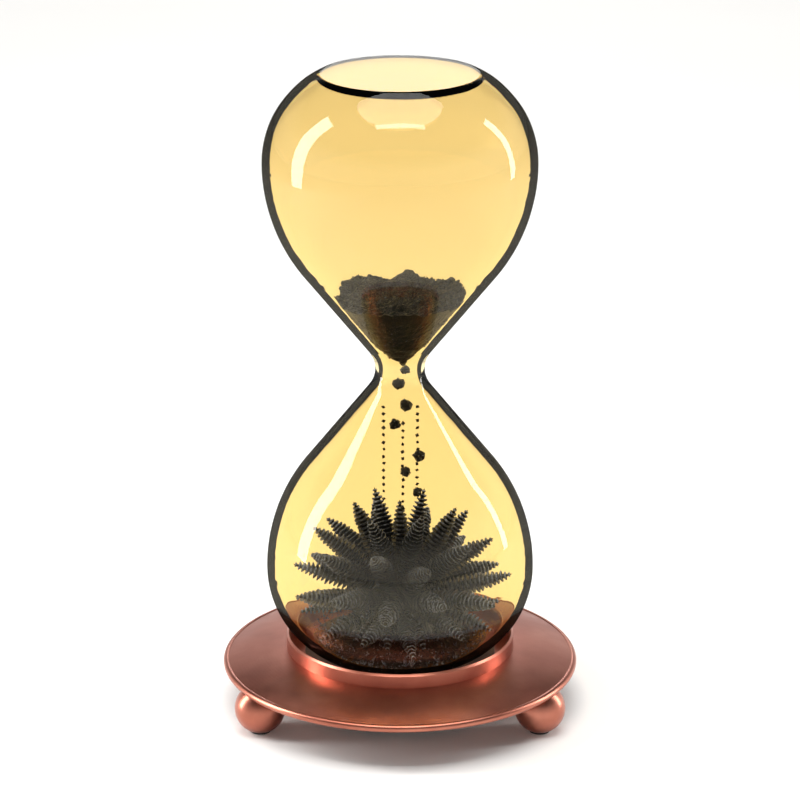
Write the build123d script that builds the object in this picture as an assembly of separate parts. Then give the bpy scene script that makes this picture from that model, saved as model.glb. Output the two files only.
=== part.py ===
from build123d import *
import os
from math import atan2, cos, degrees, radians, sin, sqrt

# A magnetic hourglass. A blown glass with two equal bulbs stands loose in the seat of a broad
# copper-finished base on three ball feet. A magnet under the seat makes the iron filings that
# fall through the waist gather in fern-like fronds.
# Millimetres, +Z up. The origin is on the table, under the centre of the base. The front faces -Y.

# ---------------------------------------------------------------- base
RIM_RADIUS = 41.0  # outside of the brim's rolled lip
RIM_HEIGHT = 10.4  # table to the lip's widest point
LIP_RADIUS = 0.85  # section of the rolled lip
BRIM_THICKNESS = 1.2
BRIM_TOP = 13.9  # top of the brim where it meets the seat cup
BRIM_CROWN = 0.45  # how far the brim bulges above a straight cone

CUP_RADIUS = 26.3  # outside of the raised collar
CUP_WALL = 0.95
CUP_TOP = 17.2
CUP_FLOOR_TOP = 11.9
CUP_FLOOR = 1.0
CUP_BEVEL = 0.45

FEET = 3
FOOT_RADIUS = 5.8
FOOT_CENTRE = 5.7  # table to the ball's centre
FOOT_PITCH = 36.8  # centre of the base to the ball's centre
FIRST_FOOT = 90.0  # angle of the back foot, in degrees from +X
PAD_RADIUS = 2.3
PAD_THICKNESS = 0.5
STUD_RADIUS = 1.4
STUD_BOTTOM = 5.0
STUD_HEAD_RADIUS = 2.3
STUD_HEAD_BOTTOM = 10.1

# ---------------------------------------------------------------- magnet and its cover
COVER_RADIUS = 24.9
COVER_WALL = 1.0
COVER_BOTTOM = 3.2
KEEPER_THICKNESS = 1.2
TAPE_THICKNESS = 0.3
MAGNET_RADIUS = 19.5
POST_RADIUS = 1.7
POST_PITCH = 21.9
FIRST_POST = 30.0
SCREWS = 3
SCREW_RADIUS = 0.9
SCREW_HOLE_RADIUS = 1.0
SCREW_LENGTH = 6.0
SCREW_HEAD_RADIUS = 1.8
SCREW_HEAD = 1.1
SCREW_SLOT_WIDTH = 0.5
SCREW_SLOT_DEPTH = 0.5

# ---------------------------------------------------------------- seat ring and glass
RING_INNER = 7.0
RING_OUTER = 22.0
RING_THICKNESS = 1.2
REST_GAP = 0.05

HALF_HEIGHT = 68.0  # waist to either flat end
BULB_RADIUS = 30.6
WAIST_RADIUS = 5.6
WAIST_ARC = 6.7
FLANK_ANGLE = 38.5  # straight flank from the vertical, in degrees
BULB_ARC = 40.0
END_RADIUS = 17.8
END_ROUND = 1.4
GLASS_WALL = 1.8
END_WALL = 2.0
FILL_HOLE_RADIUS = 4.0
PLUG_RECESS = 0.3
PLUG_HEAD_RADIUS = 4.8
PLUG_HEAD = 1.0

# ---------------------------------------------------------------- iron filings
WALL_GAP = 0.35  # filings to the inside of the glass
HEAP_LEVEL = 18.2  # waist to the top of the upper heap
HEAP_DISH = 1.4  # depth of the hollow in its top
HEAP_TIP = 2.2
HEAP_TIP_RADIUS = 1.0
HEAP_TAPER_START = 5.6
CORE_CENTRE = 10.0  # glass floor to the point that the fronds spread from
CORE_RADIUS = 8.0
MOUND_RADIUS = 7.6
MOUND_NECK = 4.6
MOUND_HEIGHT = 5.2
FROND_TIP_RADIUS = 0.15
FROND_WOBBLE = 3.0  # degrees, alternately up and down within a ring

# ring: fronds, elevation, length from the centre, greatest radius, first azimuth
FROND_RINGS = {
    "fronds_floor": (9, -33.0, 15.6, 1.6, 258.0),
    "fronds_low": (12, -9.0, 23.8, 2.2, 188.0),
    "fronds_middle": (12, 13.0, 25.5, 2.3, 173.0),
    "fronds_upper": (10, 38.0, 25.6, 2.3, 180.0),
    "fronds_crown": (6, 63.0, 26.6, 2.2, 178.0),
    "fronds_spire": (1, 84.0, 22.6, 2.0, 90.0),
}
ROOT_SHARE = 0.42  # of the greatest radius, where a frond leaves the core
WIDEST_AT = 0.52  # of the length
SHOULDER_AT = 0.76
SHOULDER_SHARE = 0.74

LOOSE_GRAINS = 22
LOOSE_RADIUS = 0.45
LOOSE_FIRST = 12.6
LOOSE_SPREAD = 4.2
GOLDEN_ANGLE = 137.508

# clump: across, back, height from the waist, radius
CLUMPS = [
    (1.2, 1.4, -0.6, 1.15),
    (-0.3, 1.5, -4.2, 1.35),
    (1.3, 1.7, -9.6, 1.45),
    (-1.2, 1.6, -14.1, 1.3),
    (4.3, 1.9, -21.9, 1.3),
    (1.2, 1.7, -25.7, 1.25),
    (3.9, 1.8, -30.7, 1.1),
]
# trickle: across, top from the waist, grains
TRICKLES = [(-3.7, -8.6, 15), (0.6, -12.6, 13), (3.9, -8.6, 13)]
TRICKLE_DEPTH = -2.3
GRAIN_RADIUS = 0.42
GRAIN_PITCH = 1.7

# ---------------------------------------------------------------- worked out from the above
CUP_BOTTOM = CUP_FLOOR_TOP - CUP_FLOOR
COVER_FLOOR_TOP = COVER_BOTTOM + COVER_WALL
MAGNET_BOTTOM = COVER_FLOOR_TOP + KEEPER_THICKNESS
MAGNET_TOP = CUP_BOTTOM - TAPE_THICKNESS
GLASS_BOTTOM = CUP_FLOOR_TOP + RING_THICKNESS + REST_GAP
GLASS_FLOOR = GLASS_BOTTOM + END_WALL
WAIST = GLASS_BOTTOM + HALF_HEIGHT

FLANK_COS = cos(radians(FLANK_ANGLE))
FLANK_SIN = sin(radians(FLANK_ANGLE))
FLANK_RUN = BULB_RADIUS - WAIST_RADIUS - (WAIST_ARC + BULB_ARC) * (1 - FLANK_COS)
BULB_LEVEL = (WAIST_ARC + BULB_ARC) * FLANK_SIN + FLANK_RUN * FLANK_COS / FLANK_SIN
SHOULDER_RISE = HALF_HEIGHT - BULB_LEVEL
SHOULDER_RUN = BULB_RADIUS - END_RADIUS
SHOULDER_ARC = (SHOULDER_RUN**2 + SHOULDER_RISE**2) / (2 * SHOULDER_RUN)
WAIST_CENTRE = (WAIST_RADIUS + WAIST_ARC, 0)


def spin(edges):
    """Revolve a closed outline, drawn as radius and height, about the vertical axis."""
    return revolve(Plane.XZ * make_face(edges), Axis.Z)


def disc(radius, bottom, top):
    """An upright cylinder on the axis, between two heights."""
    return Pos(0, 0, bottom) * Cylinder(radius, top - bottom, align=(Align.CENTER, Align.CENTER, Align.MIN))


def around(pitch, angle, shape):
    """Move a shape from the axis to a place on a pitch circle."""
    return Rot(0, 0, angle) * Pos(pitch, 0, 0) * shape


def spread(count, first):
    """Equal angles round the base."""
    return [first + 360.0 * index / count for index in range(count)]


def end_gap(gap):
    """How far the flat ends move in for a gap, since the glass is thicker there."""
    return gap * END_WALL / GLASS_WALL


def polar(centre, radius, angle):
    """The point of a circle at an angle in degrees."""
    return centre[0] + radius * cos(radians(angle)), centre[1] + radius * sin(radians(angle))


def wide_arc(centre, radius, start, end):
    """An arc as a spline, for spinning: its circle crosses the axis, so a torus would fold over."""
    spans = 4
    points = [polar(centre, radius, start + (end - start) * step / spans) for step in range(spans + 1)]
    tangents = [polar((0, 0), 1, angle + 90) for angle in (start, end)]
    return Spline(*points, tangents=tangents)


def bulb_outline(gap, rounding):
    """Outline of the upper bulb, from its flank to the axis, moved in from the glass by a gap."""
    bulb_centre = (BULB_RADIUS - BULB_ARC, BULB_LEVEL)
    shoulder_centre = (BULB_RADIUS - SHOULDER_ARC, BULB_LEVEL)
    shoulder_arc = SHOULDER_ARC - gap
    end_level = HALF_HEIGHT - end_gap(gap)
    round_rise = end_level - rounding - BULB_LEVEL
    round_run = sqrt((shoulder_arc - rounding) ** 2 - round_rise**2)
    round_centre = (shoulder_centre[0] + round_run, end_level - rounding)
    shoulder_angle = degrees(atan2(round_rise, round_run))
    bulb = wide_arc(bulb_centre, BULB_ARC - gap, -FLANK_ANGLE, 0)
    shoulder = wide_arc(shoulder_centre, shoulder_arc, 0, shoulder_angle)
    edge = CenterArc(round_centre, rounding, shoulder_angle, 90 - shoulder_angle)
    flank = Line(polar(WAIST_CENTRE, WAIST_ARC + gap, 180 - FLANK_ANGLE), bulb @ 0)
    return [flank, bulb, shoulder, edge, Line(edge @ 1, (0, end_level))]


def hourglass(gap, rounding):
    """Both bulbs as one solid in place, moved in by a gap, with the flat ends' edges rounded."""
    upper = bulb_outline(gap, rounding)
    lower = [mirror(edge, Plane.XZ) for edge in upper]
    waist = CenterArc(WAIST_CENTRE, WAIST_ARC + gap, 180 - FLANK_ANGLE, 2 * FLANK_ANGLE)
    axis = Line(upper[-1] @ 1, lower[-1] @ 1)
    return Pos(0, 0, WAIST) * spin([waist] + upper + lower + [axis])


# ---------------------------------------------------------------- base pieces
def brim_edge(drop):
    """Top line of the brim, lowered by a drop, from the seat cup to the lip."""
    inner = (CUP_RADIUS, BRIM_TOP - drop)
    outer = (RIM_RADIUS - LIP_RADIUS, RIM_HEIGHT + BRIM_THICKNESS / 2 - drop)
    middle = ((inner[0] + outer[0]) / 2, (inner[1] + outer[1]) / 2 + BRIM_CROWN)
    return inner, middle, outer


def base_dish():
    """The spun brim with its rolled lip, open in the middle for the seat cup."""
    top = brim_edge(0)
    bottom = brim_edge(BRIM_THICKNESS)
    brim = make_face(
        [
            ThreePointArc(*top),
            Line(top[2], bottom[2]),
            ThreePointArc(*bottom),
            Line(bottom[0], top[0]),
        ]
    )
    lip = Pos(RIM_RADIUS - LIP_RADIUS, RIM_HEIGHT) * Circle(LIP_RADIUS)
    return revolve(Plane.XZ * (brim + lip), Axis.Z)


def above_brim():
    """All the space above the brim's underside, used to trim what meets it from below."""
    bottom = brim_edge(BRIM_THICKNESS)
    ceiling = CUP_TOP
    return spin(
        [
            ThreePointArc(*bottom),
            Line(bottom[2], (RIM_RADIUS + FOOT_RADIUS, bottom[2][1])),
            Line((RIM_RADIUS + FOOT_RADIUS, bottom[2][1]), (RIM_RADIUS + FOOT_RADIUS, ceiling)),
            Line((RIM_RADIUS + FOOT_RADIUS, ceiling), (bottom[0][0], ceiling)),
            Line((bottom[0][0], ceiling), bottom[0]),
        ]
    )


def seat_cup():
    """The pressed cup whose wall stands above the brim as the collar round the glass."""
    outside = disc(CUP_RADIUS, CUP_BOTTOM, CUP_TOP)
    cup = outside - disc(CUP_RADIUS - CUP_WALL, CUP_FLOOR_TOP, CUP_TOP + 1)
    rims = cup.edges().filter_by(GeomType.CIRCLE).group_by(Axis.Z)[-1]
    cup = chamfer(rims, CUP_BEVEL)
    for angle in spread(SCREWS, FIRST_POST):
        post = disc(POST_RADIUS, COVER_FLOOR_TOP, CUP_BOTTOM)
        thread = disc(SCREW_RADIUS, COVER_FLOOR_TOP, COVER_BOTTOM + SCREW_LENGTH)
        cup = cup + around(POST_PITCH, angle, post) - around(POST_PITCH, angle, thread)
    return cup


def bottom_cover():
    """The shallow drum that holds the magnet up against the seat cup."""
    cover = disc(COVER_RADIUS, COVER_BOTTOM, CUP_BOTTOM)
    cover = cover - disc(COVER_RADIUS - COVER_WALL, COVER_FLOOR_TOP, CUP_BOTTOM)
    lower_edge = cover.edges().filter_by(GeomType.CIRCLE).group_by(Axis.Z)[0]
    cover = fillet(lower_edge, COVER_WALL * 0.6)
    for angle in spread(SCREWS, FIRST_POST):
        hole = disc(SCREW_HOLE_RADIUS, COVER_BOTTOM, COVER_FLOOR_TOP)
        cover = cover - around(POST_PITCH, angle, hole)
    return cover


def cover_screw(angle):
    """A pan-head screw, driven upwards through the cover into a post of the cup."""
    shank = disc(SCREW_RADIUS, COVER_BOTTOM, COVER_BOTTOM + SCREW_LENGTH)
    head = disc(SCREW_HEAD_RADIUS, COVER_BOTTOM - SCREW_HEAD, COVER_BOTTOM)
    lower_edge = head.edges().filter_by(GeomType.CIRCLE).sort_by(Axis.Z)[:1]
    head = fillet(lower_edge, SCREW_HEAD / 2)
    slot_middle = Pos(0, 0, COVER_BOTTOM - SCREW_HEAD + SCREW_SLOT_DEPTH / 2)
    slot = Box(SCREW_HEAD_RADIUS * 1.3, SCREW_SLOT_WIDTH, SCREW_SLOT_DEPTH)
    cross = slot_middle * slot + slot_middle * Rot(0, 0, 90) * slot
    return around(POST_PITCH, angle, shank + head - cross)


def foot_stud(angle):
    """A threaded stud with a flat head, welded to the underside of the brim."""
    stud = disc(STUD_RADIUS, STUD_BOTTOM, BRIM_TOP)
    head = disc(STUD_HEAD_RADIUS, STUD_HEAD_BOTTOM, BRIM_TOP)
    return around(FOOT_PITCH, angle, stud + head) - above_brim()


def ball_foot(angle):
    """A ball screwed on to its stud, flat where it meets the brim and where its pad is glued."""
    ball = Pos(0, 0, FOOT_CENTRE) * Sphere(FOOT_RADIUS)
    ball = ball - disc(FOOT_RADIUS, -FOOT_RADIUS, PAD_THICKNESS)
    ball = around(FOOT_PITCH, angle, ball) - above_brim() - base_dish()
    return ball - foot_stud(angle)


def foot_pad(angle):
    """The thin pad under a ball, on which the base rests."""
    return around(FOOT_PITCH, angle, disc(PAD_RADIUS, 0, PAD_THICKNESS))


# ---------------------------------------------------------------- seat ring, glass and plug
def seat_ring():
    """A loose washer on the floor of the cup: the glass stands on it and turns with it."""
    ring_top = CUP_FLOOR_TOP + RING_THICKNESS
    return disc(RING_OUTER, CUP_FLOOR_TOP, ring_top) - disc(RING_INNER, CUP_FLOOR_TOP, ring_top)


def glass_body():
    """The hollow blown glass, open only at the fill hole in its lower end."""
    glass = hourglass(0, END_ROUND) - hourglass(GLASS_WALL, END_ROUND / 2)
    return glass - disc(FILL_HOLE_RADIUS, GLASS_BOTTOM, GLASS_FLOOR)


def fill_plug():
    """The stopper of the fill hole, set a little way in, with a head inside the glass."""
    stem = disc(FILL_HOLE_RADIUS, GLASS_BOTTOM + PLUG_RECESS, GLASS_FLOOR)
    return stem + disc(PLUG_HEAD_RADIUS, GLASS_FLOOR, GLASS_FLOOR + PLUG_HEAD)


# ---------------------------------------------------------------- iron filings
def upper_filings():
    """The heap left in the upper bulb: hollow on top, narrowing to a tip over the waist."""
    inside = hourglass(GLASS_WALL + WALL_GAP, END_ROUND / 2)
    rim = BULB_RADIUS
    envelope = spin(
        Polyline(
            (0, HEAP_TIP),
            (HEAP_TIP_RADIUS, HEAP_TIP),
            (WAIST_RADIUS + HEAP_TIP_RADIUS, HEAP_TAPER_START),
            (rim, HEAP_TAPER_START),
            (rim, HEAP_LEVEL),
            (rim / 2, HEAP_LEVEL),
            (0, HEAP_LEVEL - HEAP_DISH),
            close=True,
        ).edges()
    )
    return inside & Pos(0, 0, WAIST) * envelope


def filings_core():
    """The dense middle of the lower growth, standing on a low mound over the fill plug."""
    mound = Cone(MOUND_RADIUS, MOUND_NECK, MOUND_HEIGHT, align=(Align.CENTER, Align.CENTER, Align.MIN))
    ball = Pos(0, 0, CORE_CENTRE) * Sphere(CORE_RADIUS)
    return Pos(0, 0, GLASS_FLOOR) * (mound + ball) - fill_plug()


def frond(length, radius, azimuth, elevation):
    """One slender frond, pointing away from the core's centre."""
    root = (radius * ROOT_SHARE, CORE_RADIUS + REST_GAP)
    blade = spin(
        Polyline(
            (0, root[1]),
            root,
            (radius, length * WIDEST_AT),
            (radius * SHOULDER_SHARE, length * SHOULDER_AT),
            (FROND_TIP_RADIUS, length),
            (0, length),
            close=True,
        ).edges()
    )
    centre = Pos(0, 0, GLASS_FLOOR + CORE_CENTRE)
    return centre * Rot(0, 0, azimuth) * Rot(0, 90 - elevation, 0) * blade


def frond_ring(count, elevation, length, radius, first):
    """A ring of equal fronds, alternately a little higher and lower."""
    fronds = []
    for index, azimuth in enumerate(spread(count, first)):
        fronds.append(frond(length, radius, azimuth, elevation + FROND_WOBBLE * (-1) ** index))
    return Compound(children=fronds)


def loose_filings():
    """Stray grains on the glass floor round the mound."""
    grains = []
    for index in range(LOOSE_GRAINS):
        reach = LOOSE_FIRST + LOOSE_SPREAD * (index * 5 % LOOSE_GRAINS) / LOOSE_GRAINS
        grain = Pos(0, 0, GLASS_FLOOR + LOOSE_RADIUS + REST_GAP) * Sphere(LOOSE_RADIUS)
        grains.append(around(reach, index * GOLDEN_ANGLE, grain))
    return Compound(children=grains)


def falling_clumps():
    """Larger clumps on their way down through the waist."""
    return Compound(children=[Pos(x, y, WAIST + z) * Sphere(radius) for x, y, z, radius in CLUMPS])


def falling_grains():
    """Three trickles of single grains, one above the other."""
    grains = []
    for across, top, count in TRICKLES:
        for index in range(count):
            place = Pos(across, TRICKLE_DEPTH, WAIST + top - index * GRAIN_PITCH)
            grains.append(place * Sphere(GRAIN_RADIUS))
    return Compound(children=grains)


# ---------------------------------------------------------------- all pieces
def all_pieces():
    """Each piece in place, under the name of its node."""
    pieces = {
        "base_dish": base_dish(),
        "seat_cup": seat_cup(),
        "magnet": disc(MAGNET_RADIUS, MAGNET_BOTTOM, MAGNET_TOP),
        "magnet_tape": disc(MAGNET_RADIUS - 0.5, MAGNET_TOP, CUP_BOTTOM),
        "keeper_plate": disc(MAGNET_RADIUS, COVER_FLOOR_TOP, MAGNET_BOTTOM),
        "bottom_cover": bottom_cover(),
        "seat_ring": seat_ring(),
        "glass_body": glass_body(),
        "fill_plug": fill_plug(),
        "upper_filings": upper_filings(),
        "filings_core": filings_core(),
        "loose_filings": loose_filings(),
        "falling_clumps": falling_clumps(),
        "falling_grains": falling_grains(),
    }
    for number, angle in enumerate(spread(SCREWS, FIRST_POST), start=1):
        pieces[f"cover_screw_{number}"] = cover_screw(angle)
    for number, angle in enumerate(spread(FEET, FIRST_FOOT), start=1):
        pieces[f"ball_foot_{number}"] = ball_foot(angle)
        pieces[f"foot_stud_{number}"] = foot_stud(angle)
        pieces[f"foot_pad_{number}"] = foot_pad(angle)
    for name, ring in FROND_RINGS.items():
        pieces[name] = frond_ring(*ring)
    return pieces


os.makedirs("parts", exist_ok=True)
for name, piece in all_pieces().items():
    export_step(piece, f"parts/{name}.step")
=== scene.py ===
import math
import random

import bmesh
import bpy
import numpy as np
from mathutils import Matrix, Vector, noise


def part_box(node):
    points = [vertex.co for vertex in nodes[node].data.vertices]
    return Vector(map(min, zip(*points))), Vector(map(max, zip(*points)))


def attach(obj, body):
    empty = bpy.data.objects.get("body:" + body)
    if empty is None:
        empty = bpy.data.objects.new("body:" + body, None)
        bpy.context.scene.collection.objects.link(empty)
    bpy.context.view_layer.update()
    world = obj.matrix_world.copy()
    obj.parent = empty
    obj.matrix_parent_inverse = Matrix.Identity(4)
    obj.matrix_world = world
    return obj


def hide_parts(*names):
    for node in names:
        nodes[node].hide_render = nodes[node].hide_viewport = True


# A magnetic hourglass on its copper-finished base. The glass, the base and the feet are the CAD
# nodes themselves. Every heap, frond and grain of iron filings is built here in mesh code.
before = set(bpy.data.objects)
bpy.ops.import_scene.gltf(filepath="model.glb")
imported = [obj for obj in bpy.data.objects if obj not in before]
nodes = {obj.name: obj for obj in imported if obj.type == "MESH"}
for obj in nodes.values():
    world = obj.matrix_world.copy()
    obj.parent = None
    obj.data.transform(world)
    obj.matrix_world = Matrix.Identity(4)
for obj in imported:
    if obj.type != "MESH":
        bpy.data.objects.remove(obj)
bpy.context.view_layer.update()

MM = 0.001
GOLDEN_ANGLE = math.radians(137.508)

# ---------------------------------------------------------------- sizes read from the frame
glass_low, glass_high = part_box("glass_body")
ring_low, ring_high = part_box("seat_ring")
core_low, core_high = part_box("filings_core")
heap_low, heap_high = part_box("upper_filings")

WAIST = (glass_low.z + glass_high.z) / 2
HALF_HEIGHT = (glass_high.z - glass_low.z) / 2
BULB_RADIUS = glass_high.x
CORE_RADIUS = core_high.x
CORE_CENTRE = Vector((0, 0, core_high.z - CORE_RADIUS))

# ---------------------------------------------------------------- inside of the glass
WAIST_RADIUS = 5.6 * MM
WAIST_ARC = 6.7 * MM
FLANK_ANGLE = math.radians(38.5)
BULB_ARC = 40.0 * MM
END_RADIUS = 17.8 * MM
GLASS_WALL = 1.8 * MM
END_WALL = 2.0 * MM
GLASS_FLOOR = glass_low.z + END_WALL

FLANK_RUN = BULB_RADIUS - WAIST_RADIUS - (WAIST_ARC + BULB_ARC) * (1 - math.cos(FLANK_ANGLE))
BULB_LEVEL = (WAIST_ARC + BULB_ARC) * math.sin(FLANK_ANGLE) + FLANK_RUN / math.tan(FLANK_ANGLE)
SHOULDER_RISE = HALF_HEIGHT - BULB_LEVEL
SHOULDER_RUN = BULB_RADIUS - END_RADIUS
SHOULDER_ARC = (SHOULDER_RUN**2 + SHOULDER_RISE**2) / (2 * SHOULDER_RUN)


def inner_radius(z):
    """Radius of the inside of the glass at a height, in either bulb."""
    rise = abs(z - WAIST)
    waist_arc = WAIST_ARC + GLASS_WALL
    bulb_arc = BULB_ARC - GLASS_WALL
    shoulder_arc = SHOULDER_ARC - GLASS_WALL
    flank_start = waist_arc * math.sin(FLANK_ANGLE)
    flank_end = BULB_LEVEL - bulb_arc * math.sin(FLANK_ANGLE)
    if rise < flank_start:
        return WAIST_RADIUS + WAIST_ARC - math.sqrt(waist_arc**2 - rise**2)
    if rise < flank_end:
        start_radius = WAIST_RADIUS + WAIST_ARC - waist_arc * math.cos(FLANK_ANGLE)
        return start_radius + (rise - flank_start) * math.tan(FLANK_ANGLE)
    if rise < BULB_LEVEL:
        return BULB_RADIUS - BULB_ARC + math.sqrt(bulb_arc**2 - (BULB_LEVEL - rise) ** 2)
    return BULB_RADIUS - SHOULDER_ARC + math.sqrt(max(0, shoulder_arc**2 - (rise - BULB_LEVEL) ** 2))


def floor_height(radius):
    """Height of the inside of the lower bulb at a radius, on its flat floor or low shoulder."""
    shoulder_arc = SHOULDER_ARC - GLASS_WALL
    run = radius - (BULB_RADIUS - SHOULDER_ARC)
    wall = WAIST - BULB_LEVEL - math.sqrt(max(0, shoulder_arc**2 - run**2)) if run > 0 else GLASS_FLOOR
    return max(GLASS_FLOOR, wall)


# ---------------------------------------------------------------- mesh building
class Build:
    """Collects closed shapes into one mesh, with a tone from 0 (painted shade, deep in) to 1 (painted
    highlight at a tip) per vertex.
    """

    def __init__(self):
        self.points = []
        self.faces = []
        self.tones = []

    def add(self, points, faces, tones):
        base = len(self.points)
        self.points.extend(points)
        self.faces.extend(tuple(base + corner for corner in face) for face in faces)
        self.tones.extend(tones)

    def piece(self, name, body, material, replaced, smooth=False):
        """Make the object, ride it on its body and hide the CAD nodes it stands for."""
        mesh = bpy.data.meshes.new(name)
        mesh.from_pydata([tuple(point) for point in self.points], [], self.faces)
        tone = mesh.attributes.new("tone", "FLOAT", "POINT")
        tone.data.foreach_set("value", self.tones)
        mesh.polygons.foreach_set("use_smooth", [smooth] * len(mesh.polygons))
        mesh.materials.append(material)
        mesh.validate()
        made = bpy.data.objects.new(name, mesh)
        bpy.context.scene.collection.objects.link(made)
        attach(made, body)
        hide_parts(*replaced)


def lathe(build, profile, segments, tone, shift):
    """Spin a profile of (radius, height) that starts and ends on the axis. shift moves a point."""
    points = [Vector((0, 0, profile[0][1]))]
    for radius, height in profile[1:-1]:
        for index in range(segments):
            angle = 2 * math.pi * index / segments
            points.append(Vector((radius * math.cos(angle), radius * math.sin(angle), height)))
    points.append(Vector((0, 0, profile[-1][1])))
    rings = len(profile) - 2
    faces = []
    for index in range(segments):
        following = (index + 1) % segments
        faces.append((0, 1 + following, 1 + index))
        for ring in range(rings - 1):
            low = 1 + ring * segments
            high = low + segments
            faces.append((low + index, low + following, high + following, high + index))
        last = 1 + (rings - 1) * segments
        faces.append((last + index, last + following, len(points) - 1))
    points = [shift(point) for point in points]
    build.add(points, faces, [tone(point) for point in points])


CHIP_CORNERS = [(1, 0, 0), (-1, 0, 0), (0, 1, 0), (0, -1, 0), (0, 0, 1), (0, 0, -1)]
CHIP_FACES = [(0, 2, 4), (2, 1, 4), (1, 3, 4), (3, 0, 4), (2, 0, 5), (1, 2, 5), (3, 1, 5), (0, 3, 5)]


def random_turn(draw):
    """A random rotation."""
    axis = Vector((draw.gauss(0, 1), draw.gauss(0, 1), draw.gauss(0, 1)))
    return Matrix.Rotation(draw.uniform(0, 2 * math.pi), 3, axis.normalized())


def chip(build, place, size, draw, length, tone, turn=None):
    """One iron chip: a small, irregular octahedron, drawn out by a length."""
    turn = turn or random_turn(draw)
    points = []
    for corner in CHIP_CORNERS:
        stretch = Vector((size, size, size * length)) * draw.uniform(0.65, 1.1)
        points.append(place + turn @ Vector(a * b for a, b in zip(corner, stretch)))
    build.add(points, CHIP_FACES, [tone] * len(points))


def ball_points(detail):
    """Vertices and faces of a unit icosphere."""
    mesh = bpy.data.meshes.new("ball_template")
    work = bmesh.new()
    bmesh.ops.create_icosphere(work, subdivisions=detail, radius=1)
    work.to_mesh(mesh)
    work.free()
    points = [vertex.co.copy() for vertex in mesh.vertices]
    faces = [tuple(polygon.vertices) for polygon in mesh.polygons]
    bpy.data.meshes.remove(mesh)
    return points, faces


BALL_COARSE = ball_points(2)
BALL_FINE = ball_points(4)


def lump(build, place, radius, draw, ball=BALL_COARSE, roughness=0.28):
    """A rough clump of filings: a ball pushed in and out by noise."""
    seed = Vector((draw.uniform(-50, 50), draw.uniform(-50, 50), draw.uniform(-50, 50)))
    points = []
    tones = []
    for direction in ball[0]:
        swell = noise.noise(direction * 1.7 + seed) + 0.5 * noise.noise(direction * 4.1 + seed)
        reach = radius * (1 - roughness / 2 + roughness * swell)
        points.append(place + direction * reach)
        # painted highlight where the noise swells out, painted shade in the hollows
        tones.append(min(1, max(0, 0.3 + 0.5 * swell)))
    build.add(points, ball[1], tones)


# ---------------------------------------------------------------- fronds
RIB_PITCH = 1.04 * MM
RIB_CORNERS = 18
RIB_RINGS = [(0.45, -0.3), (1.0, -0.13), (1.0, 0.13), (0.45, 0.3)]  # radius share, pitch share
RIB_HUB = 0.3  # half the thickness at the stem, as a share of the pitch
RIB_SWEEP = 0.3
FROND_ROOT = 0.62  # of the core's radius
STEM_RINGS = 14
STEM_SIDES = 8
STEM_WIDTH = 0.52  # of the frond's width
STEM_TIP = 0.05 * MM


def leaf_width(share):
    """Width of a frond along its length, as a share of its greatest width."""
    swell = 0.5 + 0.5 * math.sin(math.pi / 2 * min(1, share / 0.55))
    return swell * (1 - share**3.0) ** 0.8 + 0.05


def side_axes(direction):
    """Two directions square to a direction, the first of them level."""
    level = Vector((0, 0, 1)).cross(direction)
    level = level.normalized() if level.length > 1e-6 else Vector((1, 0, 0))
    return level, direction.cross(level).normalized()


def rib(build, place, direction, axes, radius, painted_rim_light, draw):
    """One rib of a frond: a swept-forward disc, thick at the stem, with a ragged, thinner rim."""
    sweep = direction * radius * RIB_SWEEP
    swirl = draw.uniform(0, 2 * math.pi)
    reaches = [radius * draw.uniform(0.84, 1.08) for _ in range(RIB_CORNERS)]
    points = [place - direction * RIB_PITCH * RIB_HUB]
    tones = [0.0]
    for inward, along in RIB_RINGS:
        for corner, reach in enumerate(reaches):
            angle = swirl + 2 * math.pi * corner / RIB_CORNERS
            out = axes[0] * math.cos(angle) + axes[1] * math.sin(angle)
            lean = sweep * inward**2
            points.append(place + out * reach * inward + lean + direction * RIB_PITCH * along)
            # painted highlight on the rim ring; the inner rings and the hub take tone 0, painted shade
            # between the ribs
            tones.append(painted_rim_light if inward == 1.0 else 0.0)
    points.append(place + direction * RIB_PITCH * RIB_HUB)
    tones.append(0.0)
    faces = []
    for corner in range(RIB_CORNERS):
        following = (corner + 1) % RIB_CORNERS
        faces.append((0, 1 + following, 1 + corner))
        for ring in range(len(RIB_RINGS) - 1):
            low = 1 + ring * RIB_CORNERS
            high = low + RIB_CORNERS
            faces.append((low + corner, low + following, high + following, high + corner))
        last = 1 + (len(RIB_RINGS) - 1) * RIB_CORNERS
        faces.append((last + corner, last + following, len(points) - 1))
    build.add(points, faces, tones)


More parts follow.
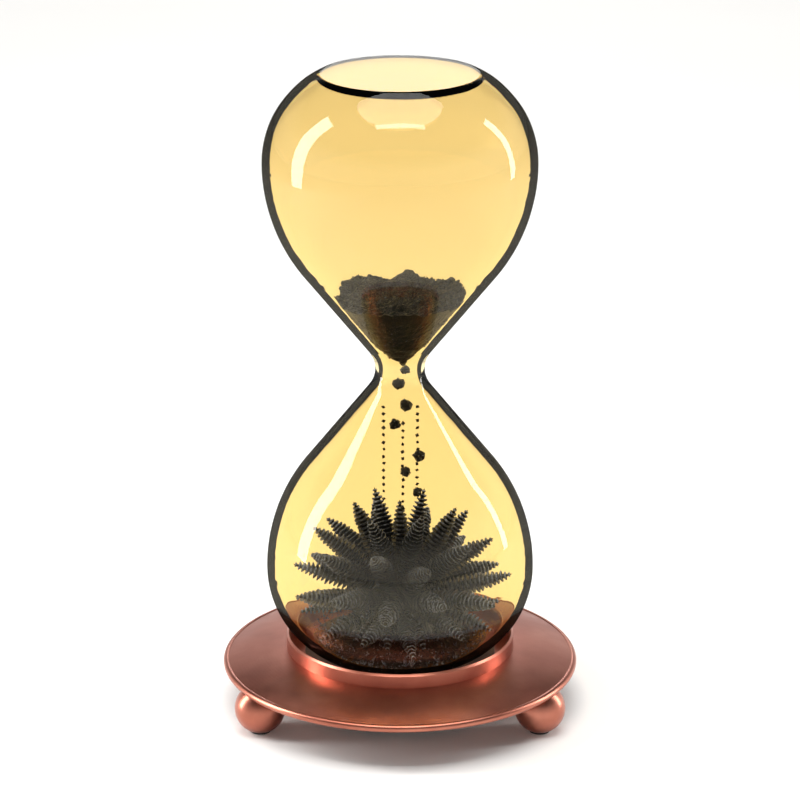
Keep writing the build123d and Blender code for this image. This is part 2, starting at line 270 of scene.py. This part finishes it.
def frond(build, direction, length, width, draw):
    """One frond: ribs strung along a slightly bent stem that thins to a point."""
    axes = side_axes(direction)
    root = CORE_RADIUS * FROND_ROOT
    bend = axes[0] * draw.uniform(-0.8, 0.8) * MM + axes[1] * draw.uniform(-0.5, 0.8) * MM
    run = length - root
    count = round(run / RIB_PITCH)

    def place_at(share):
        return CORE_CENTRE + direction * (root + run * share) + bend * math.sin(math.pi * share)

    for index in range(count):
        share = (index + 0.3) / count
        radius = width * leaf_width(share) * draw.uniform(0.95, 1.05)
        # painted highlight on the rib rims, brighter towards the tip, and painted shade, darker near the core
        rib(build, place_at(share), direction, axes, radius, 0.3 + 0.7 * share, draw)
    stem = []
    for ring in range(STEM_RINGS + 1):
        share = ring / STEM_RINGS
        radius = max(STEM_TIP, width * STEM_WIDTH * leaf_width(share))
        for side in range(STEM_SIDES):
            angle = 2 * math.pi * side / STEM_SIDES
            out = axes[0] * math.cos(angle) + axes[1] * math.sin(angle)
            stem.append(place_at(share) + out * radius)
    top = STEM_RINGS * STEM_SIDES
    faces = [tuple(range(STEM_SIDES - 1, -1, -1)), tuple(range(top, top + STEM_SIDES))]
    for ring in range(STEM_RINGS):
        low = ring * STEM_SIDES
        high = low + STEM_SIDES
        for side in range(STEM_SIDES):
            following = (side + 1) % STEM_SIDES
            faces.append((low + side, low + following, high + following, high + side))
    # near-black tone on the stem: painted shade inside the frond
    build.add(stem, faces, [0.05] * len(stem))


def separate_solids(node):
    """The points of each separate solid of a CAD node."""
    mesh = nodes[node].data
    corners = np.empty(len(mesh.vertices) * 3)
    mesh.vertices.foreach_get("co", corners)
    rounded = np.round(corners.reshape(-1, 3), 7)
    unique, index = np.unique(rounded, axis=0, return_inverse=True)
    index = index.reshape(-1)
    group = list(range(len(unique)))

    def leader(item):
        while group[item] != item:
            group[item] = group[group[item]]
            item = group[item]
        return item

    for polygon in mesh.polygons:
        first = leader(index[polygon.vertices[0]])
        for vertex in polygon.vertices[1:]:
            group[leader(index[vertex])] = first
    solids = {}
    for item, point in enumerate(unique):
        solids.setdefault(leader(item), []).append(Vector(point))
    return list(solids.values())


def frond_axes(node):
    """Direction, length and greatest radius of each frond of a CAD node."""
    found = []
    for points in separate_solids(node):
        tip = max(points, key=lambda point: (point - CORE_CENTRE).length)
        direction = (tip - CORE_CENTRE).normalized()
        length = (tip - CORE_CENTRE).length
        radius = max((point - CORE_CENTRE).cross(direction).length for point in points)
        found.append((direction, length, radius))
    return sorted(found, key=lambda item: math.atan2(item[0].y, item[0].x))


FROND_NODES = [
    "fronds_floor", "fronds_low", "fronds_middle", "fronds_upper", "fronds_crown", "fronds_spire",
]
FROND_STRETCH = {"fronds_middle": 1.05, "fronds_upper": 1.03, "fronds_spire": 1.04}
SHORT_FRONDS = 26
SHORT_LENGTH = 13.0 * MM
SHORT_WIDTH = 1.3 * MM
HEART_SHARE = 0.86  # of the CAD core's radius
MOUND_NECK = 0.7
MOUND_FOOT = 1.25
MOUND_HEIGHT = 8.0 * MM
MOUND_STEPS = 8
MOUND_SIDES = 64


def build_fronds(material):
    """Every ring of fronds on its CAD directions."""
    for number, node in enumerate(FROND_NODES):
        draw = random.Random(100 + number)
        build = Build()
        for direction, length, radius in frond_axes(node):
            slim = 0.9 if direction.z < 0 else 1.1
            reach = length * draw.uniform(0.97, 1.01) * FROND_STRETCH.get(node, 1)
            frond(build, direction, reach, radius * slim, draw)
        build.piece(node.replace("fronds", "fern"), "timer", material, [node])


def build_core(material):
    """The dense heart: a rough ball on a mound, with short fronds over its top and sides."""
    draw = random.Random(7)
    build = Build()
    lump(build, CORE_CENTRE, CORE_RADIUS * HEART_SHARE, draw, BALL_FINE, 0.12)
    neck = CORE_RADIUS * MOUND_NECK
    foot = CORE_RADIUS * MOUND_FOOT
    profile = [(0, core_low.z), (foot, core_low.z)]
    for step in range(1, MOUND_STEPS + 1):
        share = step / MOUND_STEPS
        profile.append((foot + (neck - foot) * share**0.6, core_low.z + MOUND_HEIGHT * share))
    profile.append((0, core_low.z + MOUND_HEIGHT))

    def roughen(point):
        push = 0.5 * MM * noise.noise(point * 700) + 0.25 * MM * noise.noise(point * 2100)
        out = Vector((point.x, point.y, 0))
        return point + out.normalized() * push if out.length > 1e-6 else point

    lathe(build, profile, MOUND_SIDES, lambda point: 0.15, roughen)
    for index in range(SHORT_FRONDS):
        height = 1 - 1.35 * (index + 0.5) / SHORT_FRONDS
        angle = index * GOLDEN_ANGLE
        level = math.sqrt(1 - height**2)
        direction = Vector((level * math.cos(angle), level * math.sin(angle), height))
        if direction.z > 0.93:
            continue
        length = SHORT_LENGTH * draw.uniform(0.8, 1.12)
        frond(build, direction, length, SHORT_WIDTH * draw.uniform(0.85, 1.15), draw)
    build.piece("growth_core", "timer", material, ["filings_core"])


# ---------------------------------------------------------------- loose filings on the glass floor
FLOOR_CHIPS = 4200
FLOOR_TUFTS = 46
FLOOR_REACH = 20.5 * MM
FLOOR_START = 8.0 * MM
PILE_DEPTH = 2.4 * MM
PILE_SPREAD = 5.2 * MM
SKIRT_REACH = 17.0 * MM
SKIRT_STEPS = 18
SKIRT_SIDES = 96
TUFT_NEAR = 13.5
TUFT_FAR = 19.0
NEEDLES_IN_TUFT = 6
NEEDLE_WIDTH = 0.16 * MM


def pile(radius):
    """Depth of the loose filings at a radius."""
    return PILE_DEPTH * math.exp(-(((radius - FLOOR_START) / PILE_SPREAD) ** 2))


def build_floor_filings(material):
    """A thin skirt of filings round the mound, thinning out to single chips."""
    draw = random.Random(11)
    build = Build()
    profile = [(0, GLASS_FLOOR + 0.04 * MM), (SKIRT_REACH, GLASS_FLOOR + 0.04 * MM)]
    for step in range(SKIRT_STEPS):
        radius = SKIRT_REACH * (1 - step / SKIRT_STEPS)
        profile.append((radius, GLASS_FLOOR + 0.12 * MM + pile(max(radius, FLOOR_START)) * 0.8))
    profile.append((0, profile[-1][1]))

    def ragged(point):
        if point.xy.length < 1e-6:
            return point
        edge = 1 + 0.12 * noise.noise(Vector((point.x, point.y, 0)) * 260)
        lift = 0.25 * MM * noise.noise(point * 1300) if point.z > GLASS_FLOOR + 0.1 * MM else 0
        return Vector((point.x * edge, point.y * edge, point.z + lift))

    lathe(build, profile, SKIRT_SIDES, lambda point: 0.1, ragged)
    for _chip in range(FLOOR_CHIPS):
        radius = FLOOR_START + (FLOOR_REACH - FLOOR_START) * draw.random() ** 1.5
        angle = draw.uniform(0, 2 * math.pi)
        size = draw.uniform(0.12, 0.3) * MM
        height = floor_height(radius) + size + draw.random() * pile(radius)
        place = Vector((radius * math.cos(angle), radius * math.sin(angle), height))
        chip(build, place, size, draw, draw.uniform(1, 2.4), draw.uniform(0.2, 0.9))
    for _tuft in range(FLOOR_TUFTS):
        radius = draw.uniform(TUFT_NEAR, TUFT_FAR) * MM
        angle = draw.uniform(0, 2 * math.pi)
        root = Vector((radius * math.cos(angle), radius * math.sin(angle), floor_height(radius)))
        for _needle in range(NEEDLES_IN_TUFT):
            lean = Vector((draw.gauss(0, 0.5), draw.gauss(0, 0.5), 1)).normalized()
            turn = lean.to_track_quat("Z", "Y").to_matrix()
            reach = draw.uniform(0.5, 0.95) * MM
            # tone 0.9 on the needles: painted highlight on the pale tuft tips
            chip(build, root + lean * reach * 0.85, NEEDLE_WIDTH, draw, reach / NEEDLE_WIDTH, 0.9, turn)
    build.piece("floor_filings", "timer", material, ["loose_filings"])


# ---------------------------------------------------------------- heap in the upper bulb
HEAP_GAP = 0.35 * MM
HEAP_RINGS = 24
HEAP_TOP_RINGS = 26
HEAP_SIDES = 160
HEAP_TOP_CHIPS = 1500
HEAP_SIDE_CHIPS = 2600
HEAP_RAGGED = 3.2 * MM  # depth under the top in which the wall is left to the ragged surface
HEAP_DRIP = 6.8 * MM  # height above the waist below which the heap draws in to its tip
TIP_RADIUS = 0.6 * MM
TIP_LUMPS = [(1.6, 1.6), (0.7, 1.25), (-0.2, 0.95), (-0.9, 0.65)]  # rise and radius in millimetres


HEAP_TOP = heap_high.z
HEAP_TIP = heap_low.z
HEAP_SIDE_TOP = HEAP_TOP - HEAP_RAGGED
HEAP_TAPER = WAIST + HEAP_DRIP


def heap_wall(height):
    """Radius of the heap at a height where it lies along the glass."""
    return inner_radius(height) - HEAP_GAP / math.cos(FLANK_ANGLE)


HEAP_RIM = heap_wall(HEAP_TOP)


def heap_profile():
    """Half section of the heap: up from the dripping tip, out along the glass and in over the top."""
    profile = [(0, HEAP_TIP)]
    for ring in range(HEAP_RINGS):
        height = HEAP_TIP + (HEAP_SIDE_TOP - HEAP_TIP) * (ring + 0.4) / HEAP_RINGS
        radius = heap_wall(height)
        if height < HEAP_TAPER:
            share = (height - HEAP_TIP) / (HEAP_TAPER - HEAP_TIP)
            radius = TIP_RADIUS + (heap_wall(HEAP_TAPER) - TIP_RADIUS) * share**0.85
        profile.append((radius, height))
    for ring in range(HEAP_TOP_RINGS):
        profile.append((HEAP_RIM * (1 - ring / HEAP_TOP_RINGS), HEAP_TOP))
    profile.append((0, HEAP_TOP))
    return profile


def heap_ragged(point):
    """A point of the heap's smooth surface, moved to where the rough one is."""
    flat = point.xy.length
    if point.z > HEAP_TOP - 1e-6:
        place = Vector((point.x, point.y, 0))
        swell = noise.noise(place * 190 + Vector((3, 1, 7))) * 1.5
        swell += noise.noise(place * 480) * 1.1 + noise.noise(place * 1300) * 0.5
        height = HEAP_TOP + (swell * 0.8 - 0.8) * MM
        share = heap_wall(height) / HEAP_RIM
        return Vector((point.x * share, point.y * share, height))
    if flat < 1e-6:
        return point
    inward = 0.12 * MM * (noise.noise(point * 900) + noise.noise(point * 2600)) - 0.12 * MM
    if point.z < HEAP_TAPER:
        inward += 0.35 * MM * noise.noise(point * 600)
    share = 1 + inward / flat
    return Vector((point.x * share, point.y * share, point.z))


def build_heap(material):
    """The heap of filings over the waist: ragged on top, drawn down to a dripping tip."""
    draw = random.Random(3)
    build = Build()
    profile = heap_profile()

    def tone(point):
        return min(1, max(0, 0.22 + 0.4 * noise.noise(point * 1100)))

    lathe(build, profile, HEAP_SIDES, tone, heap_ragged)
    for _chip in range(HEAP_TOP_CHIPS):
        radius = (HEAP_RIM - 0.5 * MM) * math.sqrt(draw.random())
        angle = draw.uniform(0, 2 * math.pi)
        place = heap_ragged(Vector((radius * math.cos(angle), radius * math.sin(angle), HEAP_TOP)))
        size = draw.uniform(0.14, 0.36) * MM
        chip(build, place, size, draw, draw.uniform(1, 1.8), draw.uniform(0.0, 0.6))
    for _chip in range(HEAP_SIDE_CHIPS):
        height = HEAP_TIP + (HEAP_SIDE_TOP - HEAP_TIP) * math.sqrt(draw.random())
        ring = min(HEAP_RINGS, 1 + int((height - HEAP_TIP) / (HEAP_SIDE_TOP - HEAP_TIP) * HEAP_RINGS))
        radius = profile[ring][0] - 0.2 * MM
        angle = draw.uniform(0, 2 * math.pi)
        place = Vector((radius * math.cos(angle), radius * math.sin(angle), height))
        chip(build, place, draw.uniform(0.1, 0.24) * MM, draw, 1.3, draw.uniform(0.1, 0.7))
    for rise, radius in TIP_LUMPS:
        lump(build, Vector((0.7 * MM, 0.4 * MM, HEAP_TIP + rise * MM)), radius * MM, draw)
    build.piece("upper_heap", "timer", material, ["upper_filings"])


# ---------------------------------------------------------------- filings in the air
CHIPS_ON_CLUMP = 26


def build_falling(material):
    """Rough clumps and single grains, each where its CAD solid is."""
    draw = random.Random(5)
    clumps = Build()
    for points in sorted(separate_solids("falling_clumps"), key=lambda solid: solid[0].z):
        centre = sum(points, Vector()) / len(points)
        radius = max((point - centre).length for point in points)
        lump(clumps, centre, radius * 1.2, draw, roughness=0.4)
        for _chip in range(CHIPS_ON_CLUMP):
            out = random_turn(draw) @ Vector((0, 0, 1))
            place = centre + out * radius * draw.uniform(0.75, 1.0)
            chip(clumps, place, draw.uniform(0.12, 0.28) * MM, draw, 1.5, draw.uniform(0.2, 0.9))
    clumps.piece("clumps_in_air", "falling", material, ["falling_clumps"])
    grains = Build()
    for points in sorted(separate_solids("falling_grains"), key=lambda solid: solid[0].z):
        centre = sum(points, Vector()) / len(points)
        radius = max((point - centre).length for point in points)
        aside = Vector((draw.uniform(-1, 1), draw.uniform(-1, 1), draw.uniform(-1, 1))) * 0.08 * MM
        chip(grains, centre + aside, radius * 1.35, draw, 1.05, draw.uniform(0.0, 0.4))
    grains.piece("grains_in_air", "falling", material, ["falling_grains"])


# ---------------------------------------------------------------- felt seat ring
RING_HOLE = 7.0 * MM
FELT_FUZZ = 0.06 * MM
FELT_GRAIN = 1900
FELT_EDGE = 0.35 * MM
FELT_SIDES = 128


def build_felt(material):
    """The felt washer: soft edges and a slightly uneven top, with the hole in the middle."""
    inner, outer = RING_HOLE, ring_high.x
    bottom, top = ring_low.z, ring_high.z
    profile = [
        (inner, bottom), (outer, bottom), (outer, top - FELT_EDGE), (outer - FELT_EDGE, top),
        (inner + FELT_EDGE, top), (inner, top - FELT_EDGE),
    ]
    points, faces = [], []
    for radius, height in profile:
        for side in range(FELT_SIDES):
            angle = 2 * math.pi * side / FELT_SIDES
            place = Vector((radius * math.cos(angle), radius * math.sin(angle), height))
            fuzz = FELT_FUZZ * noise.noise(place * FELT_GRAIN)
            dent = min(0, fuzz) if height == top else 0
            reach = min(outer, radius + fuzz)
            points.append(Vector((reach * math.cos(angle), reach * math.sin(angle), height + dent)))
    count = len(profile)
    for ring in range(count):
        following = (ring + 1) % count
        for side in range(FELT_SIDES):
            beside = (side + 1) % FELT_SIDES
            near, far = ring * FELT_SIDES, following * FELT_SIDES
            faces.append((near + side, near + beside, far + beside, far + side))
    build = Build()
    build.add(points, faces, [0.5] * len(points))
    build.piece("felt_ring", "seat", material, ["seat_ring"], smooth=True)


# ---------------------------------------------------------------- materials
class Nodes:
    """A short way to write a node material."""

    def __init__(self, name):
        self.material = bpy.data.materials.new(name)
        self.material.use_nodes = True
        self.tree = self.material.node_tree
        self.tree.nodes.clear()
        self.output = self.tree.nodes.new("ShaderNodeOutputMaterial")
        self.coords = self.tree.nodes.new("ShaderNodeTexCoord")

    def node(self, kind, settings=None, **inputs):
        made = self.tree.nodes.new(kind)
        for key, value in (settings or {}).items():
            setattr(made, key, value)
        for key, value in inputs.items():
            socket = made.inputs[int(key[1:])] if key[0] == "_" else made.inputs[key.replace("_", " ")]
            if isinstance(value, bpy.types.NodeSocket):
                self.tree.links.new(value, socket)
            else:
                socket.default_value = value
        return made

    def place(self, scale=(1, 1, 1)):
        return self.node("ShaderNodeMapping", Vector=self.coords.outputs["Object"], Scale=scale).outputs[0]

    def noise(self, scale, detail, place=None):
        settings = {"Scale": scale, "Detail": detail, "Roughness": 0.55}
        made = self.node("ShaderNodeTexNoise", Vector=place or self.place(), **settings)
        return made.outputs["Fac"]

    def ramp(self, factor, stops):
        made = self.node("ShaderNodeValToRGB", Fac=factor)
        band = made.color_ramp
        while len(band.elements) < len(stops):
            band.elements.new(0.5)
        for element, (position, colour) in zip(band.elements, stops):
            element.position = position
            element.color = (*colour, 1)
        return made.outputs["Color"]

    def between(self, factor, low, high):
        """A number that follows a 0 to 1 factor from low to high."""
        made = self.node("ShaderNodeMapRange", Value=factor)
        made.inputs["To Min"].default_value = low
        made.inputs["To Max"].default_value = high
        return made.outputs["Result"]

    def bump(self, height, distance, strength=0.5, under=None):
        made = self.node("ShaderNodeBump", Height=height, Distance=distance, Strength=strength)
        if under is not None:
            self.tree.links.new(under, made.inputs["Normal"])
        return made.outputs["Normal"]

    def surface(self, shader):
        self.tree.links.new(shader, self.output.inputs["Surface"])
        return self.material

    def principled(self, **inputs):
        return self.node("ShaderNodeBsdfPrincipled", **inputs).outputs["BSDF"]


def copper_material():
    """Satin copper plating: cloudy tone, faint turning lines and fine scratches."""
    work = Nodes("copper_plating")
    clouds = work.noise(55, 5)
    shades = [(0.3, (0.33, 0.105, 0.07)), (0.52, (0.43, 0.15, 0.102)), (0.75, (0.54, 0.215, 0.15))]
    colour = work.ramp(clouds, shades)
    rings = work.node(
        "ShaderNodeTexWave",
        {"wave_type": "RINGS", "rings_direction": "Z"},
        Vector=work.place(), Scale=420.0, Distortion=1.2, Detail=2.0,
    ).outputs["Fac"]
    scratches = work.noise(900, 2, work.place((1, 1, 0.1)))
    rough = work.between(work.noise(160, 4), 0.24, 0.4)
    normal = work.bump(rings, 0.00001, 0.35)
    normal = work.bump(scratches, 0.00001, 0.5, normal)
    normal = work.bump(clouds, 0.0001, 0.25, normal)
    return work.surface(work.principled(Base_Color=colour, Metallic=1.0, Roughness=rough, Normal=normal))


def glass_material():
    """Amber blown glass, a little wavy, that shines evenly. Lamps reach the filings inside it."""
    work = Nodes("amber_glass")
    normal = work.bump(work.noise(35, 2), 0.0004, 0.12)
    tint = work.ramp(work.noise(20, 2), [(0.3, (0.965, 0.883, 0.67)), (0.7, (0.97, 0.893, 0.695))])
    bend = work.node("ShaderNodeBsdfRefraction", Color=tint, Roughness=0.0, IOR=1.22, Normal=normal)
    body = bend.outputs[0]
    shine = work.node("ShaderNodeBsdfGlossy", Color=(1, 1, 1, 1), Roughness=0.02, Normal=normal).outputs[0]
    facing = work.node("ShaderNodeLayerWeight", Blend=0.25).outputs["Facing"]
    gloss = work.between(facing, 0.022, 0.04)
    glass = work.node("ShaderNodeMixShader", _0=gloss, _1=body, _2=shine).outputs[0]
    clear = work.node("ShaderNodeBsdfTransparent", Color=(0.98, 0.965, 0.94, 1)).outputs[0]
    shadow = work.node("ShaderNodeLightPath").outputs["Is Shadow Ray"]
    return work.surface(work.node("ShaderNodeMixShader", _0=shadow, _1=glass, _2=clear).outputs[0])


def filings_material():
    """Iron filings: painted shade, near black, between the teeth; painted highlight, pale grey, where an edge
    catches the light.
    """
    work = Nodes("iron_filings")
    tone = work.node("ShaderNodeAttribute", {"attribute_name": "tone"}).outputs["Fac"]
    speckle = work.noise(2600, 4)
    blend = work.node("ShaderNodeMath", {"operation": "MULTIPLY"}, _0=tone, _1=speckle).outputs[0]
    # tone ramp: near black at 0 for painted shade, pale blue-grey at 0.62 for painted highlight
    shades = [(0.0, (0.002, 0.003, 0.006)), (0.3, (0.008, 0.011, 0.022)), (0.62, (0.26, 0.32, 0.56))]
    rough = work.between(speckle, 0.3, 0.6)
    normal = work.bump(work.noise(5200, 3), 0.00004, 0.5)
    look = {"Metallic": 0.35, "Specular_IOR_Level": 0.25}
    colour = work.ramp(blend, shades)
    return work.surface(work.principled(Base_Color=colour, Roughness=rough, Normal=normal, **look))


def felt_material():
    """Pressed brown felt with a short nap."""
    work = Nodes("brown_felt")
    fibres = work.noise(3000, 6)
    colour = work.ramp(fibres, [(0.3, (0.026, 0.012, 0.008)), (0.7, (0.072, 0.034, 0.023))])
    normal = work.bump(fibres, 0.0002, 0.7)
    nap = {"Sheen_Weight": 0.12, "Sheen_Roughness": 0.4}
    return work.surface(work.principled(Base_Color=colour, Roughness=0.95, Normal=normal, **nap))


def plain_material(name, low, high, metallic, rough, grain, depth):
    """A moulded, ground or plated finish: two close tones, uneven gloss and a fine grain."""
    work = Nodes(name)
    clouds = work.noise(grain / 6, 4)
    colour = work.ramp(clouds, [(0.35, low), (0.68, high)])
    roughness = work.between(work.noise(grain / 2, 3), rough * 0.85, min(1, rough * 1.2))
    normal = work.bump(work.noise(grain, 3), depth, 0.5)
    shader = work.principled(Base_Color=colour, Metallic=metallic, Roughness=roughness, Normal=normal)
    return work.surface(shader)


def floor_material():
    """A plain, pale, matt sweep."""
    work = Nodes("pale_floor")
    colour = work.ramp(work.noise(3, 3), [(0.3, (0.80, 0.79, 0.765)), (0.7, (0.83, 0.82, 0.80))])
    normal = work.bump(work.noise(700, 3), 0.00005, 0.3)
    return work.surface(work.principled(Base_Color=colour, Roughness=0.75, Normal=normal))


# ---------------------------------------------------------------- camera, lights and floor
CAMERA_DISTANCE = 0.70  # level distance from the axis
CAMERA_ABOVE_WAIST = 0.232
AIM_HEIGHT = 0.0735
LENS = 147.0
FLOOR_SIZE = 6.0
EXPOSURE = -1.7
OVERHEAD_POWER = 8.0
OVERHEAD_SPREAD = math.radians(50)
WALL_GLOW = 2.9
WALL_TOP = 0.22  # rise of the view line at which the wall begins to darken, as a sine
CEILING_START = 0.5
CEILING_SHADE = (0.06, 0.06, 0.062, 1)


def aim(thing, place, target):
    thing.location = place
    thing.rotation_euler = (Vector(target) - Vector(place)).to_track_quat("-Z", "Y").to_euler()


def build_camera():
    lens = bpy.data.cameras.new("camera")
    lens.lens = LENS
    lens.clip_start = 0.01
    lens.clip_end = 50
    camera = bpy.data.objects.new("camera", lens)
    bpy.context.scene.collection.objects.link(camera)
    aim(camera, (0, -CAMERA_DISTANCE, WAIST + CAMERA_ABOVE_WAIST), (0, 0, AIM_HEIGHT))
    bpy.context.scene.camera = camera


def softbox(name, place, target, width, height, power, mirrored=True):
    light = bpy.data.lights.new(name, "AREA")
    light.shape = "RECTANGLE"
    light.size = width
    light.size_y = height
    light.energy = power
    holder = bpy.data.objects.new(name, light)
    holder.visible_glossy = mirrored
    holder.visible_transmission = False  # so that no lamp is seen through the glass
    bpy.context.scene.collection.objects.link(holder)
    aim(holder, place, target)


def build_world():
    """A pale wall all round, level with the eye, under a darker ceiling that the glass edges show."""
    world = bpy.data.worlds.new("studio")
    world.use_nodes = True
    tree = world.node_tree
    direction = tree.nodes.new("ShaderNodeTexCoord").outputs["Generated"]
    split = tree.nodes.new("ShaderNodeSeparateXYZ")
    tree.links.new(direction, split.inputs[0])
    ramp = tree.nodes.new("ShaderNodeValToRGB")
    tree.links.new(split.outputs["Z"], ramp.inputs[0])
    wall, ceiling = ramp.color_ramp.elements
    wall.position, wall.color = WALL_TOP, (1.0, 0.995, 0.985, 1)
    ceiling.position, ceiling.color = CEILING_START, CEILING_SHADE
    background = tree.nodes["Background"]
    tree.links.new(ramp.outputs["Color"], background.inputs["Color"])
    background.inputs["Strength"].default_value = WALL_GLOW
    bpy.context.scene.world = world


def build_lights():
    middle = (0, 0, 0.08)
    softbox("left_softbox", (-0.52, 0.02, 0.27), middle, 0.13, 0.62, 15.0)
    softbox("right_softbox", (0.53, 0.13, 0.25), middle, 0.065, 0.5, 6.5)
    softbox("front_fill", (-0.5, -1.6, 0.7), middle, 1.0, 1.0, 8.0, mirrored=False)
    overhead = bpy.data.lights.new("overhead", "SUN")
    overhead.energy = OVERHEAD_POWER
    overhead.angle = OVERHEAD_SPREAD
    bpy.context.scene.collection.objects.link(bpy.data.objects.new("overhead", overhead))
    softbox("crescent_strip", (0.0, -0.45, 1.2), middle, 0.7, 0.09, 7.0)
    softbox("top_card", (0.0, 1.1, 0.407), (0, 0, 0.15), 0.2, 0.08, 1.6)
    softbox("back_strip", (0.0, 1.1, 0.52), (0, 0, 0.15), 0.9, 0.12, 1.2)
    build_world()
    bpy.context.scene.view_settings.view_transform = "Standard"
    bpy.context.scene.view_settings.exposure = EXPOSURE


def build_floor():
    corners = [(-FLOOR_SIZE, -FLOOR_SIZE, 0), (FLOOR_SIZE, -FLOOR_SIZE, 0)]
    corners += [(FLOOR_SIZE, FLOOR_SIZE, 0), (-FLOOR_SIZE, FLOOR_SIZE, 0)]
    mesh = bpy.data.meshes.new("floor")
    mesh.from_pydata(corners, [], [(0, 1, 2, 3)])
    mesh.materials.append(floor_material())
    floor = bpy.data.objects.new("floor", mesh)
    bpy.context.scene.collection.objects.link(floor)


# ---------------------------------------------------------------- the scene
def dress(names, material):
    """Give carried-over CAD nodes their finish."""
    for name in names:
        slots = nodes[name].data.materials
        slots.clear()
        slots.append(material)


def numbered(stem):
    return [f"{stem}_{number}" for number in (1, 2, 3)]


dress(["base_dish", "seat_cup"] + numbered("ball_foot"), copper_material())
dress(["glass_body"], glass_material())
enamel = plain_material("enamel", (0.02, 0.016, 0.014), (0.035, 0.028, 0.025), 0.0, 0.4, 900, 0.00003)
dress(["bottom_cover"], enamel)
ferrite = plain_material("ferrite", (0.03, 0.03, 0.032), (0.055, 0.055, 0.06), 0.1, 0.6, 1400, 0.00003)
dress(["magnet"], ferrite)
foam = plain_material("foam_tape", (0.62, 0.6, 0.55), (0.7, 0.68, 0.63), 0.0, 0.9, 2200, 0.0001)
dress(["magnet_tape"], foam)
steel = plain_material("zinc_plated_steel", (0.45, 0.46, 0.46), (0.6, 0.6, 0.58), 1.0, 0.35, 1200, 0.00001)
dress(["keeper_plate"] + numbered("cover_screw") + numbered("foot_stud"), steel)
rubber = plain_material("black_rubber", (0.014, 0.014, 0.014), (0.026, 0.026, 0.026), 0.0, 0.8, 1800, 0.00005)
dress(["fill_plug"] + numbered("foot_pad"), rubber)

filings = filings_material()
build_fronds(filings)
build_core(filings)
build_floor_filings(filings)
build_heap(filings)
build_falling(filings)
build_felt(felt_material())
build_camera()
build_lights()
build_floor()
